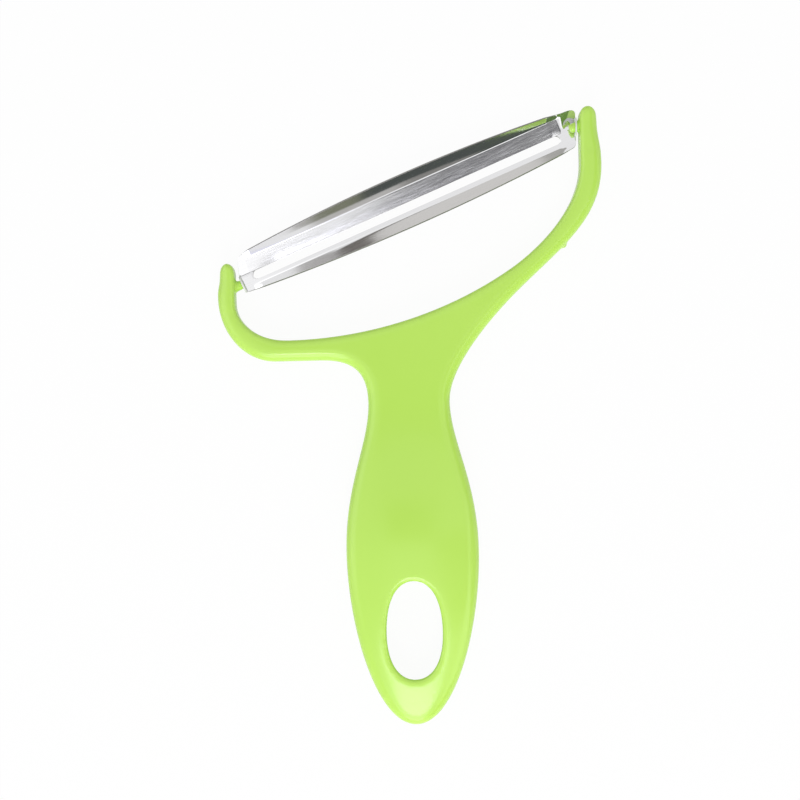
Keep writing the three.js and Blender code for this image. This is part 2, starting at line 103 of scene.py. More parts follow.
def angle(name, description, degrees):
    """A settable angle, stored in radians."""
    return FloatProperty(name=name, description=description, default=math.radians(degrees),
                         subtype="ANGLE", unit="ROTATION")


def colour(name, description, values):
    """A settable colour."""
    return FloatVectorProperty(name=name, description=description, default=values,
                               subtype="COLOR", size=3, min=0.0, max=1.0)


class SLICER_PG_handle(bpy.types.PropertyGroup):
    """Sizes and colour of the moulded handle."""

    skin: length("Skin", "Width of the faces of the moulded skin", 0.53)
    skin_turn: angle("Skin turn", "Turn of the skin's grid, so that no edge runs along it", 31)
    skin_tilt: angle("Skin tilt", "Tilt of the skin's grid, so that no face runs along it", 20)
    softness: IntProperty(name="Softness", description="Passes that ease the moulded edges", default=8)
    front_softness: IntProperty(name="Front softness", description="Passes that ease the domed front",
                                default=25)
    sink_depth: length("Sink depth", "Depth of the sink marks under the pegs", 0.12)
    sink_radius: length("Sink radius", "Radius of the sink marks", 1.3)
    green: colour("Green", "Colour of the plastic", (0.53, 0.845, 0.122))


class SLICER_PG_blade(bpy.types.PropertyGroup):
    """Sizes and colour of the pressed blade, in its own frame along the slot."""

    skew: angle("Skew", "Slot line against the grip's square line", 22.7)
    pivot_drop: length("Pivot drop", "Pivot line to the fold", 2.4)
    sheet: length("Sheet", "Thickness of the steel", 0.55)
    slot_width: length("Slot width", "Width of the slot", 2.8)
    left_end: length("Left end", "Middle of the pivot line to the left end", 57.587)
    right_end: length("Right end", "Middle of the pivot line to the right end, on the slot line", 58.56)
    left_margin: length("Left margin", "Left end to the slot", 4.3)
    right_margin: length("Right margin", "Right end to the slot", 5.5)
    far_flat: length("Far flat", "Fold to the far crease", 4.7)
    near_flat: length("Near flat", "Fold to the near crease", 4.3)
    far_width: length("Far width", "Fold to the far edge at mid-length", 8.3)
    far_left: length("Far left width", "Fold to the far edge at the left end", 6.0)
    far_right: length("Far right width", "Fold to the far edge at the right end", 5.5)
    near_width: length("Near width", "Fold to the near edge at mid-length", 7.9)
    near_left: length("Near left width", "Fold to the near edge at the left end", 5.3)
    near_right: length("Near right width", "Fold to the near edge at the right end", 5.7)
    far_tilt: angle("Far tilt", "Tilt of the ground strip", 10)
    near_tilt: angle("Near tilt", "Tilt of the near strip", 12)
    far_flange: angle("Far flange", "Tilt of the far flange", 38)
    near_flange: angle("Near flange", "Tilt of the near flange", 34)
    far_curl: angle("Far curl", "Further tilt of the far flange at its edge", 7)
    far_twist: angle("Far twist", "Further tilt of the far flange at its right end", 6)
    crease: length("Crease", "Softness of the creases", 0.18)
    tab: length("Tab", "Flat tab beyond the flanges at both ends", 4.2)
    fade: length("Fade", "Stretch over which the flanges end", 1.6)
    tab_drop: length("Tab drop", "Fall of the right tab's far corner", 1.2)
    grind: length("Grind", "Width of the ground bevel", 4.2)
    bevel_end: length("Bevel end", "Run-out of the bevel at its right end", 2.0)
    bevel_start: length("Bevel start", "Run-out of the bevel at its left end", 10.0)
    cutting_edge: length("Cutting edge", "Sheet left at the cutting edge", 0.15)
    corner: length("Corner", "Rounding of the strip's corners", 1.6)
    corner_cut: length("Corner cut", "Slant of the far left corner", 2.0)
    ear_radius: length("Ear radius", "Half width of the ears", 2.65)
    ear_hole: length("Ear hole", "Radius of the peg holes", 1.85)
    ear_offset: length("Ear offset", "Peg from the slot line", 1.2566)
    rim: length("Rim", "Rounding of the sheet's cut edges", 0.14)
    steel: colour("Steel", "Colour of the steel", (0.77, 0.77, 0.78))
    # The rim's dark tone is painted shade along the sheet's cut edges; only its roughness is the sheared
    # finish
    rim_shade_tone: colour("Rim tone", "Colour of the sheared rim", (0.28, 0.27, 0.26))


class SLICER_PG_stage(bpy.types.PropertyGroup):
    """Camera, light and floor."""

    camera_height: length("Camera height", "Camera above the floor", 565)
    camera_right: length("Camera right", "Camera to the right of the origin", -4.37)
    camera_up: length("Camera up", "Camera towards the blade from the origin", 5.76)
    camera_roll: angle("Camera roll", "Turn of the picture", 1.41)
    lens: FloatProperty(name="Lens", description="Focal length in millimetres", default=79.75)
    sky: FloatProperty(name="Sky", description="Strength of the soft light all round", default=0.65)
    key: FloatProperty(name="Key", description="Brightness of the softbox beyond the grip", default=6.0)
    low: FloatProperty(name="Low", description="Brightness of the low softbox behind it", default=2.8)
    floor: colour("Floor", "Colour of the floor", (0.93, 0.93, 0.93))
    floor_white: FloatProperty(name="Floor white",
                               description="Share of plain white that the camera sees", default=0.95)
    floor_mirrored: FloatProperty(name="Floor mirrored",
                                  description="Share of plain white in mirror images", default=0.35)


# Shared helpers

def select_only(*objects):
    """Leaves just these objects selected, the first one active."""
    bpy.ops.object.select_all(action="DESELECT")
    for item in objects:
        item.select_set(True)
    bpy.context.view_layer.objects.active = objects[0]


def places_of(mesh):
    """Vertex places of a mesh as an array."""
    flat = np.empty(len(mesh.vertices) * 3, np.float64)
    mesh.vertices.foreach_get("co", flat)
    return flat.reshape(-1, 3)


def set_places(mesh, places):
    """Moves the vertices of a mesh."""
    mesh.vertices.foreach_set("co", np.asarray(places, np.float32).ravel())
    mesh.update()


def apply_modifier(piece, kind, **values):
    """Adds a modifier with these values and applies it."""
    modifier = piece.modifiers.new(kind.title(), kind)
    for name, value in values.items():
        setattr(modifier, name, value)
    select_only(piece)
    bpy.ops.object.modifier_apply(modifier=modifier.name)


def eased(distance, run):
    """Nought before a line and one from a run past it, with soft ends."""
    share = np.clip(distance / run, 0.0, 1.0)
    return share * share * (3.0 - 2.0 * share)


def socket(group, name, kind, into):
    """Adds a named socket to a node group."""
    group.interface.new_socket(name=name, in_out="INPUT" if into else "OUTPUT", socket_type=kind)


def new_material(name):
    """A node material with its shader and output."""
    material = bpy.data.materials.new(name)
    material.use_nodes = True
    tree = material.node_tree
    return material, tree, tree.nodes["Principled BSDF"]


def node(tree, kind, **inputs):
    """Adds a node and sets its inputs by name."""
    made = tree.nodes.new(kind)
    for name, value in inputs.items():
        made.inputs[name.replace("_", " ")].default_value = value
    return made


# Materials

def drawn_lines_group():
    """Fine lines along X with specks, as rolled and ground steel shows them."""
    group = bpy.data.node_groups.get("drawn lines")
    if group:
        return group
    group = bpy.data.node_groups.new("drawn lines", "ShaderNodeTree")
    socket(group, "Vector", "NodeSocketVector", True)
    socket(group, "Line density", "NodeSocketFloat", True)
    socket(group, "Speck density", "NodeSocketFloat", True)
    socket(group, "Lines", "NodeSocketFloat", False)
    socket(group, "Specks", "NodeSocketFloat", False)
    entry = group.nodes.new("NodeGroupInput")
    leave = group.nodes.new("NodeGroupOutput")
    stretch = node(group, "ShaderNodeVectorMath")
    stretch.operation = "MULTIPLY"
    stretch.inputs[1].default_value = LINE_STRETCH
    lines = node(group, "ShaderNodeTexNoise", Detail=3.0, Roughness=0.6)
    specks = node(group, "ShaderNodeTexNoise", Detail=1.0, Roughness=0.5)
    only_peaks = node(group, "ShaderNodeMapRange", From_Min=0.68, From_Max=0.78)
    link = group.links.new
    link(entry.outputs["Vector"], stretch.inputs[0])
    link(stretch.outputs[0], lines.inputs["Vector"])
    link(entry.outputs["Line density"], lines.inputs["Scale"])
    link(entry.outputs["Vector"], specks.inputs["Vector"])
    link(entry.outputs["Speck density"], specks.inputs["Scale"])
    link(specks.outputs["Fac"], only_peaks.inputs["Value"])
    link(lines.outputs["Fac"], leave.inputs["Lines"])
    link(only_peaks.outputs["Result"], leave.inputs["Specks"])
    return group


def moulded_plastic(green):
    """Semi-gloss moulded plastic with a faint flow of colour and a fine skin."""
    material, tree, shader = new_material("moulded_plastic")
    link = tree.links.new
    shader.inputs["IOR"].default_value = 1.5
    where = node(tree, "ShaderNodeTexCoord")
    flow = node(tree, "ShaderNodeTexNoise", Scale=28.0, Detail=3.0, Roughness=0.5)
    tint = node(tree, "ShaderNodeMix")
    tint.data_type = "RGBA"
    for end, flow_shares in (("A", DARK_FLOW), ("B", PALE_FLOW)):
        tone = (min(part * share, 1.0) for part, share in zip(green, flow_shares))
        tint.inputs[end].default_value = (*tone, 1.0)
    skin = node(tree, "ShaderNodeTexNoise", Scale=160.0, Detail=1.0, Roughness=0.5)
    gloss = node(tree, "ShaderNodeMapRange", From_Min=0.3, From_Max=0.7, To_Min=0.13, To_Max=0.19)
    bump = node(tree, "ShaderNodeBump", Strength=0.02, Distance=0.0004)
    link(where.outputs["Object"], flow.inputs["Vector"])
    link(where.outputs["Object"], skin.inputs["Vector"])
    link(flow.outputs["Fac"], tint.inputs["Factor"])
    link(flow.outputs["Fac"], gloss.inputs["Value"])
    link(tint.outputs["Result"], shader.inputs["Base Color"])
    link(gloss.outputs["Result"], shader.inputs["Roughness"])
    link(skin.outputs["Fac"], bump.inputs["Height"])
    link(bump.outputs["Normal"], shader.inputs["Normal"])
    return material


def steel(name, tone, skew, smooth, rough, relief, grain, specks):
    """Sheet steel: bounds of its roughness, height and tones of its drawn lines, and bright specks."""
    material, tree, shader = new_material(name)
    link = tree.links.new
    shader.inputs["Metallic"].default_value = 1.0
    where = node(tree, "ShaderNodeTexCoord")
    turn = node(tree, "ShaderNodeMapping")
    turn.inputs["Rotation"].default_value = (0.0, 0.0, -skew)
    lines = node(tree, "ShaderNodeGroup")
    lines.node_tree = drawn_lines_group()
    lines.inputs["Line density"].default_value = LINE_DENSITY
    lines.inputs["Speck density"].default_value = SPECK_DENSITY
    grained = node(tree, "ShaderNodeMix")
    grained.data_type = "RGBA"
    grained.inputs["A"].default_value = (*(value * (1 - grain) for value in tone), 1.0)
    grained.inputs["B"].default_value = (*(value * (1 + grain) for value in tone), 1.0)
    tint = node(tree, "ShaderNodeMix")
    tint.data_type = "RGBA"
    tint.inputs["B"].default_value = SPECK_TONE
    shine = node(tree, "ShaderNodeMath")
    shine.operation = "MULTIPLY"
    shine.inputs[1].default_value = specks
    gloss = node(tree, "ShaderNodeMapRange", From_Min=0.3, From_Max=0.7, To_Min=smooth, To_Max=rough)
    bump = node(tree, "ShaderNodeBump", Strength=relief, Distance=0.00005)
    link(where.outputs["Object"], turn.inputs["Vector"])
    link(turn.outputs["Vector"], lines.inputs["Vector"])
    link(lines.outputs["Lines"], grained.inputs["Factor"])
    link(grained.outputs["Result"], tint.inputs["A"])
    link(lines.outputs["Specks"], shine.inputs[0])
    link(shine.outputs[0], tint.inputs["Factor"])
    link(tint.outputs["Result"], shader.inputs["Base Color"])
    link(lines.outputs["Lines"], gloss.inputs["Value"])
    link(gloss.outputs["Result"], shader.inputs["Roughness"])
    link(lines.outputs["Lines"], bump.inputs["Height"])
    link(bump.outputs["Normal"], shader.inputs["Normal"])
    return material


# Operators

class SLICER_OT_handle(bpy.types.Operator):
    """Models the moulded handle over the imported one, with eased edges and sink marks"""

    bl_idname = "slicer.handle"
    bl_label = "Moulded handle"

    def execute(self, context):
        settings = context.scene.slicer_handle
        piece = bpy.data.objects.new("handle_moulding", frame["nodes"]["handle"].data.copy())
        context.scene.collection.objects.link(piece)
        select_only(piece)
        bpy.ops.object.mode_set(mode="EDIT")
        bpy.ops.mesh.select_all(action="SELECT")
        bpy.ops.mesh.remove_doubles(threshold=HAIR)
        bpy.ops.object.mode_set(mode="OBJECT")
        turn = Matrix.Rotation(settings.skin_turn, 4, "Z")
        to_grid = Matrix.Rotation(settings.skin_tilt, 4, "X") @ turn
        piece.data.transform(to_grid)
        apply_modifier(piece, "REMESH", mode="VOXEL", voxel_size=settings.skin)
        piece.data.transform(to_grid.inverted())
        apply_modifier(piece, "SMOOTH", factor=0.5, iterations=settings.softness)
        self.ease_front(piece, settings)
        self.press_sink_marks(piece, settings)
        select_only(piece)
        bpy.ops.object.shade_smooth()
        piece.data.materials.clear()
        piece.data.materials.append(moulded_plastic(settings.green))
        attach(piece, "handle")
        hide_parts("handle")
        return {"FINISHED"}

    def ease_front(self, piece, settings):
        """Eases the domed front, less and less towards its rims."""
        normals = np.empty(len(piece.data.vertices) * 3, np.float64)
        piece.data.vertices.foreach_get("normal", normals)
        weight = eased(normals.reshape(-1, 3)[:, 2] - FRONT_FACING, FRONT_RUN)
        for _ in range(WEIGHT_PASSES):
            weight = self.mean_of_neighbours(piece.data, weight)
        level = np.rint(WEIGHT_STEPS * weight).astype(int)
        group = piece.vertex_groups.new(name="front")
        for step in range(1, WEIGHT_STEPS + 1):
            group.add(np.flatnonzero(level == step).tolist(), step / WEIGHT_STEPS, "REPLACE")
        apply_modifier(piece, "SMOOTH", factor=0.5, iterations=settings.front_softness,
                       vertex_group="front")
        piece.vertex_groups.clear()

    def mean_of_neighbours(self, mesh, values):
        """Each vertex's mean of the values at the other ends of its edges."""
        ends = np.empty(len(mesh.edges) * 2, np.int32)
        mesh.edges.foreach_get("vertices", ends)
        here, there = ends.reshape(-1, 2).T
        total = np.zeros_like(values)
        np.add.at(total, here, values[there])
        np.add.at(total, there, values[here])
        return total / np.bincount(ends, minlength=len(values))

    def press_sink_marks(self, piece, settings):
        """Presses the shallow marks that the moulding leaves below the pegs."""
        places = places_of(piece.data)
        upper = places[:, 2] > pivot.z
        for x, y in SINK_MARKS:
            apart = (places[:, 0] - x * MM) ** 2 + (places[:, 1] - y * MM) ** 2
            places[:, 2] -= upper * settings.sink_depth * np.exp(-apart / settings.sink_radius ** 2)
        set_places(piece.data, places)


class SLICER_OT_blade(bpy.types.Operator):
    """Presses the slotted blade from a flat grid and hangs its ears on the pegs"""

    bl_idname = "slicer.blade"
    bl_label = "Pressed blade"

    def execute(self, context):
        settings = context.scene.slicer_blade
        piece = self.strip(settings)
        ears = [self.ear(settings, -1), self.ear(settings, 1)]
        select_only(piece, *ears)
        bpy.ops.object.join()
        self.seat(piece, settings)
        select_only(piece)
        bpy.ops.object.shade_smooth_by_angle(angle=SMOOTH_ANGLE)
        apply_modifier(piece, "WEIGHTED_NORMAL", keep_sharp=True, weight=80)
        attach(piece, "blade")
        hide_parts("blade")
        return {"FINISHED"}

    def columns(self, s):
        """Stations along the slot's middle, closer together at the ends; and which two end the slot."""
        fold = s.slot_width / 2
        start = -s.left_end + s.left_margin + fold
        end = s.right_end - s.right_margin - fold
        shares = np.linspace(0, 1, TAB_STATIONS) ** TAB_CROWDING
        left = -s.left_end + (start - fold + s.left_end) * shares
        middle = np.linspace(start, end, SLOT_STATIONS)
        right = s.right_end - (s.right_end - end - fold) * shares[::-1]
        stations = np.concatenate([left[:-1], middle, right[1:]])
        return stations, len(left) - 1, len(left) - 1 + len(middle) - 1

    def rows(self):
        """Band number plus share of the band, from the near edge on; closer at the creases."""
        within = (1 - np.cos(np.linspace(0, math.pi, BAND_ROWS + 1))) / 2
        return np.concatenate([band + within[:-1] for band in range(BANDS)] + [[BANDS]])

    def edges_at(self, x, s):
        """Near and far edge of the strip at a station along the slot."""
        fold = s.slot_width / 2
        run = np.clip((x + s.left_end) / (s.left_end + s.right_end), 0, 1)
        bow = 4 * run * (1 - run)
        far = s.far_left * (1 - run) + s.far_right * run
        far = far + bow * (s.far_width - (s.far_left + s.far_right) / 2)
        near = s.near_left * (1 - run) + s.near_right * run
        near = near + bow * (s.near_width - (s.near_left + s.near_right) / 2)
        from_end = np.minimum(x + s.left_end, s.right_end - x)
        inside = np.clip(1 - from_end / s.corner, 0, 1)
        rounding = s.corner * (1 - np.sqrt(1 - inside ** 2))
        return fold - near + rounding, fold + far - rounding

    def past_crease(self, distance, s):
        """Distance past a crease, eased over the crease's softness, and nought before it."""
        return (distance + np.sqrt(distance * distance + s.crease ** 2)) / 2

    def height(self, x, y, s):
        """Height of the strip's upper face: two tilted strips and two flanges that end at the tabs."""
        fold = s.slot_width / 2
        from_end = np.minimum(x + s.left_end, s.right_end - x)
        raised = eased(from_end - s.tab, s.fade)
        far, near = self.past_crease(y - fold, s), self.past_crease(fold - y, s)
        far_rise = self.past_crease(far - s.far_flat, s)
        near_rise = self.past_crease(near - s.near_flat, s)
        far_slope = math.tan(s.far_flange) - math.tan(s.far_tilt)
        near_slope = math.tan(s.near_flange) - math.tan(s.near_tilt)
        far_slope = far_slope + s.far_twist * SLOPE_PER_TILT * eased(x, s.right_end)
        curl_gain = math.tan(s.far_flange + s.far_curl) - math.tan(s.far_flange)
        curl = curl_gain / (s.far_width - s.far_flat) / 2
        corner_run = s.far_right / 4
        corner = np.clip((x - s.right_end + s.tab) / s.tab, 0, 1) * eased(y - fold, corner_run)
        far_face = far * math.tan(s.far_tilt) + raised * (far_slope * far_rise + curl * far_rise ** 2)
        near_face = near * math.tan(s.near_tilt) + raised * near_slope * near_rise
        return far_face + near_face - s.tab_drop * corner

    def strip(self, s):
        """The strip from a grid whose rows follow the creases, with its slot and ground bevel."""
        stations, slot_start, slot_end = self.columns(s)
        shares = self.rows()
        across, along = len(shares), len(stations)
        bpy.ops.object.select_all(action="DESELECT")
        bpy.ops.mesh.primitive_grid_add(x_subdivisions=along - 1, y_subdivisions=across - 1, size=1.0)
        piece = bpy.context.active_object
        piece.name = "blade_strip"
        flat = places_of(piece.data)
        column = np.rint((flat[:, 0] + 0.5) * (along - 1)).astype(int)
        row = np.rint((flat[:, 1] + 0.5) * (across - 1)).astype(int)
        fold = s.slot_width / 2
        x = stations[column]
        low, high = self.edges_at(x, s)
        share = shares[row]
        stops = np.stack([low, np.full_like(x, fold - s.near_flat), np.full_like(x, -fold),
                          np.full_like(x, fold), np.full_like(x, fold + s.far_flat), high])
        stops[1] = np.maximum(stops[1], low * CREASE_LIMIT + stops[2] * (1 - CREASE_LIMIT))
        stops[4] = np.minimum(stops[4], high * CREASE_LIMIT + stops[3] * (1 - CREASE_LIMIT))
        band = np.minimum(share.astype(int), BANDS - 1)
        pick = np.arange(len(x))
        y = stops[band, pick] + (share - band) * (stops[band + 1, pick] - stops[band, pick])
        in_slot_rows = (share >= SLOT_BAND) & (share <= SLOT_BAND + 1)
        arc = np.sqrt(np.clip(fold ** 2 - y ** 2, 0, None)) * in_slot_rows
        x = x + arc * ((column == slot_end).astype(float) - (column == slot_start))
        right_start = stations[slot_end] + fold
        past = np.clip((x - right_start) / (s.right_end - right_start), 0, 1)
        lean = past * math.tan(s.skew) * y
        left_start = stations[slot_start] - fold
        before = np.clip((left_start - x) / (s.left_end + left_start), 0, 1)
        cut = before * s.corner_cut * np.clip((y - fold) / s.far_left, 0, None)
        z = self.height(x, y, s)
        set_places(piece.data, np.stack([x + lean + cut, y, z], 1))
        self.cut_slot(piece, (column >= slot_start) & (column <= slot_end) & in_slot_rows)
        self.give_thickness(piece, s)
        return piece

    def cut_slot(self, piece, inside):
        """Takes out the faces whose vertices are all inside the slot or on its rim."""
        for face in piece.data.polygons:
            face.select = all(inside[i] for i in face.vertices)
        for edge in piece.data.edges:
            edge.select = False
        for vertex in piece.data.vertices:
            vertex.select = False
        select_only(piece)
        bpy.ops.object.mode_set(mode="EDIT")
        bpy.ops.mesh.select_mode(type="FACE")
        bpy.ops.mesh.delete(type="FACE")
        bpy.ops.object.mode_set(mode="OBJECT")

    def finishes(self, s):
        """Steel of the polished faces, of the ground bevel and of the sheared rim, in this order; the
        rim's dark tone is painted shade.
        """
        return (
            steel("polished_steel", s.steel, s.skew,
                  smooth=0.05, rough=0.09, relief=0.02, grain=0.06, specks=0.1),
            steel("ground_steel", s.steel, s.skew,
                  smooth=0.12, rough=0.2, relief=0.12, grain=0.2, specks=0.6),
            # Rough sheared rim whose dark tone is painted shade on the cut edges
            steel("sheared_steel_painted_shade", s.rim_shade_tone, s.skew,
                  smooth=0.35, rough=0.45, relief=0.05, grain=0.1, specks=0.0),
        )

    def give_thickness(self, piece, s):
        """Gives the sheet its thickness, grinds the bevel, parts the finishes and breaks the edges."""
        fold = s.slot_width / 2
        top_count = len(piece.data.vertices)
        for finish in self.finishes(s):
            piece.data.materials.append(finish)
        # The rim faces take the sheared finish, with its painted shade
        apply_modifier(piece, "SOLIDIFY", thickness=s.sheet, offset=-1.0, use_even_offset=True,
                       material_offset_rim=SHEARED_SHADED)
        places = places_of(piece.data)
        start = -s.left_end + s.left_margin
        end = s.right_end - s.right_margin
        top = np.arange(len(places)) < top_count
        run = eased(places[:, 0] - start, s.bevel_start) * eased(end - places[:, 0], s.bevel_end)
        back = places[:, 1] - fold
        ground = top & (back > -HAIR) & (back < s.grind) & (run > 0)
        depth = (s.sheet - s.cutting_edge) * np.clip(1 - back / s.grind, 0, 1) ** GRIND_HOLLOW * run
        places[ground, 2] -= depth[ground]
        set_places(piece.data, places)
        for face in piece.data.polygons:
            middle = face.center
            on_bevel = (0 < middle.y - fold < s.grind and start < middle.x < end
                        and face.normal.z > FACING_UP)
            if on_bevel and face.material_index == POLISHED:
                face.material_index = GROUND
        apply_modifier(piece, "BEVEL", width=s.rim, segments=2, limit_method="ANGLE",
                       angle_limit=RIM_ANGLE)

    def ear(self, s, side):
        """An ear: two loops bridged into a plate with a peg hole, given the sheet's thickness."""
        peg_y = side * s.ear_offset
        bpy.ops.object.select_all(action="DESELECT")
        bpy.ops.mesh.primitive_circle_add(vertices=EAR_FACETS, radius=s.ear_radius)
        piece = bpy.context.active_object
        bpy.ops.object.mode_set(mode="EDIT")
        bpy.ops.mesh.primitive_circle_add(vertices=EAR_FACETS, radius=s.ear_hole)
        bpy.ops.mesh.select_all(action="SELECT")
        bpy.ops.mesh.bridge_edge_loops()
        bpy.ops.object.mode_set(mode="OBJECT")
        flat = places_of(piece.data)
        outer = np.hypot(flat[:, 0], flat[:, 1]) > (s.ear_radius + s.ear_hole) / 2
        low = outer & (flat[:, 1] < 0)
        reach = s.pivot_drop + s.sheet / 2
        square = flat[low] / np.abs(flat[low][:, :2]).max(1, keepdims=True)
        flat[low, 0] = square[:, 0] * s.ear_radius
        flat[low, 1] = square[:, 1] * reach
        y = peg_y + flat[:, 0]
        z = s.pivot_drop + flat[:, 1]
        x = np.full_like(y, -s.left_end) if side < 0 else s.right_end - s.sheet + y * math.tan(s.skew)
        set_places(piece.data, np.stack([x, y, z], 1))
        select_only(piece)
        bpy.ops.object.mode_set(mode="EDIT")
        bpy.ops.mesh.select_all(action="SELECT")
        bpy.ops.mesh.normals_make_consistent(inside=False)
        bpy.ops.mesh.extrude_region_move(TRANSFORM_OT_translate={"value": (s.sheet, 0, 0)})
        bpy.ops.mesh.select_all(action="SELECT")
        bpy.ops.mesh.normals_make_consistent(inside=False)
        bpy.ops.object.mode_set(mode="OBJECT")
        apply_modifier(piece, "BEVEL", width=s.rim, segments=2, limit_method="ANGLE",
                       angle_limit=RIM_ANGLE)
        return piece

    def seat(self, piece, s):
        """Turns the blade into the fork and lowers it under the pivot line."""
        piece.rotation_euler = (0.0, 0.0, s.skew)
        piece.location = pivot - Vector((0.0, 0.0, s.pivot_drop))
        select_only(piece)
        bpy.ops.object.transform_apply(location=True, rotation=True, scale=True)


class SLICER_OT_stage(bpy.types.Operator):
    """Sets the floor, the soft light and the camera straight above the tool"""

    bl_idname = "slicer.stage"
    bl_label = "Studio stage"

    def execute(self, context):
        settings = context.scene.slicer_stage
        self.floor(settings)
        self.cards()
        self.light(context, settings)
        self.camera(context, settings)
        return {"FINISHED"}

    def floor(self, s):
        """A pale floor that reads as white to the camera and keeps a soft shadow."""
        bpy.ops.object.select_all(action="DESELECT")
        bpy.ops.mesh.primitive_plane_add(size=FLOOR_SIZE, location=(0.0, 0.0, -FLOOR_DROP))
        plane = bpy.context.active_object
        plane.name = "floor"
        material, tree, shader = new_material("pale_floor")
        shader.inputs["Base Color"].default_value = (*s.floor, 1.0)
        shader.inputs["Roughness"].default_value = 0.9
        white = node(tree, "ShaderNodeEmission", Strength=1.0)
        mix = node(tree, "ShaderNodeMixShader")
        out = tree.nodes["Material Output"]
        tree.links.new(self.seen_by_eye(tree, s.floor_white, s.floor_mirrored), mix.inputs["Fac"])
        tree.links.new(shader.outputs["BSDF"], mix.inputs[1])
        tree.links.new(white.outputs["Emission"], mix.inputs[2])
        tree.links.new(mix.outputs[0], out.inputs["Surface"])
        plane.data.materials.append(material)

    def seen_by_eye(self, tree, straight, mirrored):
        """One share where the camera sees the surface straight, another in mirror images, else nought."""
        path = node(tree, "ShaderNodeLightPath")
        total = None
        for ray, share in (("Is Camera Ray", straight), ("Is Glossy Ray", mirrored),
                           ("Is Transmission Ray", mirrored)):
            part = node(tree, "ShaderNodeMath")
            part.operation = "MULTIPLY_ADD"
            part.inputs[1].default_value = share
            part.inputs[2].default_value = 0.0
            tree.links.new(path.outputs[ray], part.inputs[0])
            if total:
                tree.links.new(total, part.inputs[2])
            total = part.outputs[0]
        return total

    def cards(self):
        """Studio cards out of the camera's sight that give the bright steel something to mirror, green
        ones a painted reflection of shaded arms.

        Each has a name, a brightness, a place and a size in metres and a turn in degrees."""
        plain = (
            ("top_card", (0.30, 0.30, 0.30), (0.0, 0.0, 0.95), (0.24, 0.24), (0, 0, 0)),
            ("high_card", (0.185, 0.185, 0.19), (0.226, -0.172, 0.75), (0.19, 0.30), (0, 0, 16)),
            # The next three dark green cards are a painted reflection: the steel mirrors them as the
            # arms' shaded green sides
            ("painted_arm_shade_tab_card", (0.16, 0.30, 0.06), (0.242, 0.10, 0.20), (0.12, 0.14), (0, 40, 0)),
            ("painted_arm_shade_flange_card", (0.13, 0.22, 0.07), (0.264, 0.024, 0.116), (0.10, 0.12), (0, 64, -18)),
            ("painted_arm_shade_corner_card", (0.12, 0.20, 0.065), (0.239, -0.075, 0.140), (0.26, 0.14), (0, 64, -40)),
            ("low_far_card", (0.50, 0.49, 0.47), (0.2435, -0.62, 0.10), (0.017, 0.20), (90, 0, 0)),
            ("low_left_card", (0.23, 0.24, 0.175), (0.2735, -0.62, 0.10), (0.043, 0.20), (90, 0, 0)),
            ("low_card", (0.085, 0.095, 0.09), (0.3475, -0.62, 0.10), (0.105, 0.20), (90, 0, 0)),
            ("low_right_card", (0.085, 0.10, 0.085), (0.61, -0.62, 0.22), (0.42, 0.44), (90, 0, 0)),
            ("upper_left_card", (0.56, 0.55, 0.53), (0.2905, -0.62, 0.28), (0.081, 0.16), (90, 0, 0)),
            ("upper_card", (0.27, 0.265, 0.25), (0.3655, -0.62, 0.28), (0.069, 0.16), (90, 0, 0)),
            ("back_card", (0.74, 0.725, 0.70), (-0.1955, 0.70, 0.20), (0.145, 0.40), (90, 0, 0)),
            ("back_strip", (0.15, 0.138, 0.125), (-0.281, 0.69, 0.20), (0.030, 0.40), (90, 25, 0)),
            ("back_far_card", (0.50, 0.49, 0.48), (-0.311, 0.70, 0.20), (0.032, 0.40), (90, 0, 0)),
            ("back_right_card", (0.46, 0.455, 0.43), (-0.01, 0.70, 0.20), (0.226, 0.40), (90, 0, 0)),
        )
        shining = (
            ("end_card", (6.6, 6.6, 7.4), (0.0, -0.53, 0.85), (0.46, 0.32), (0, 0, 0)),
            ("arm_card", (3.1, 3.1, 3.5), (-0.08, -0.90, 0.63), (0.90, 1.20), (55, 0, 0)),
            ("left_tab_card", (1.3, 1.3, 1.3), (-0.015, -0.185, 0.93), (0.26, 0.26), (0, 0, 0)),
            ("left_card", (1.9, 1.9, 1.9), (-0.71, 0.19, 0.52), (1.20, 1.50), (0, -55, -15)),
            ("right_card", (1.9, 1.9, 1.9), (0.67, -0.31, 0.52), (1.10, 1.00), (0, 55, -25)),
        )
        for name, tone, spot, size, turn in plain + shining:
            bpy.ops.object.select_all(action="DESELECT")
            bpy.ops.mesh.primitive_plane_add(size=1.0, location=spot,
                                             rotation=[math.radians(a) for a in turn])
            card = bpy.context.active_object
            card.name = name
            card.scale = (size[0], size[1], 1.0)
            card.visible_camera = False
            card.visible_diffuse = False
            card.visible_shadow = False
            card.data.materials.append(self.card_paper(name, tone, max(tone) > 1.0))

    def card_paper(self, name, tone, shining):
        """Paper of a studio card: evenly lit, or shining and fading to the sky's white at its edges."""
        material, tree, shader = new_material(name)
        paper = node(tree, "ShaderNodeEmission", Color=(*tone, 1.0), Strength=1.0)
        tree.links.new(paper.outputs["Emission"], tree.nodes["Material Output"].inputs["Surface"])
        tree.nodes.remove(shader)
        if shining:
            self.fade_edges(tree, paper, tone)
        return material

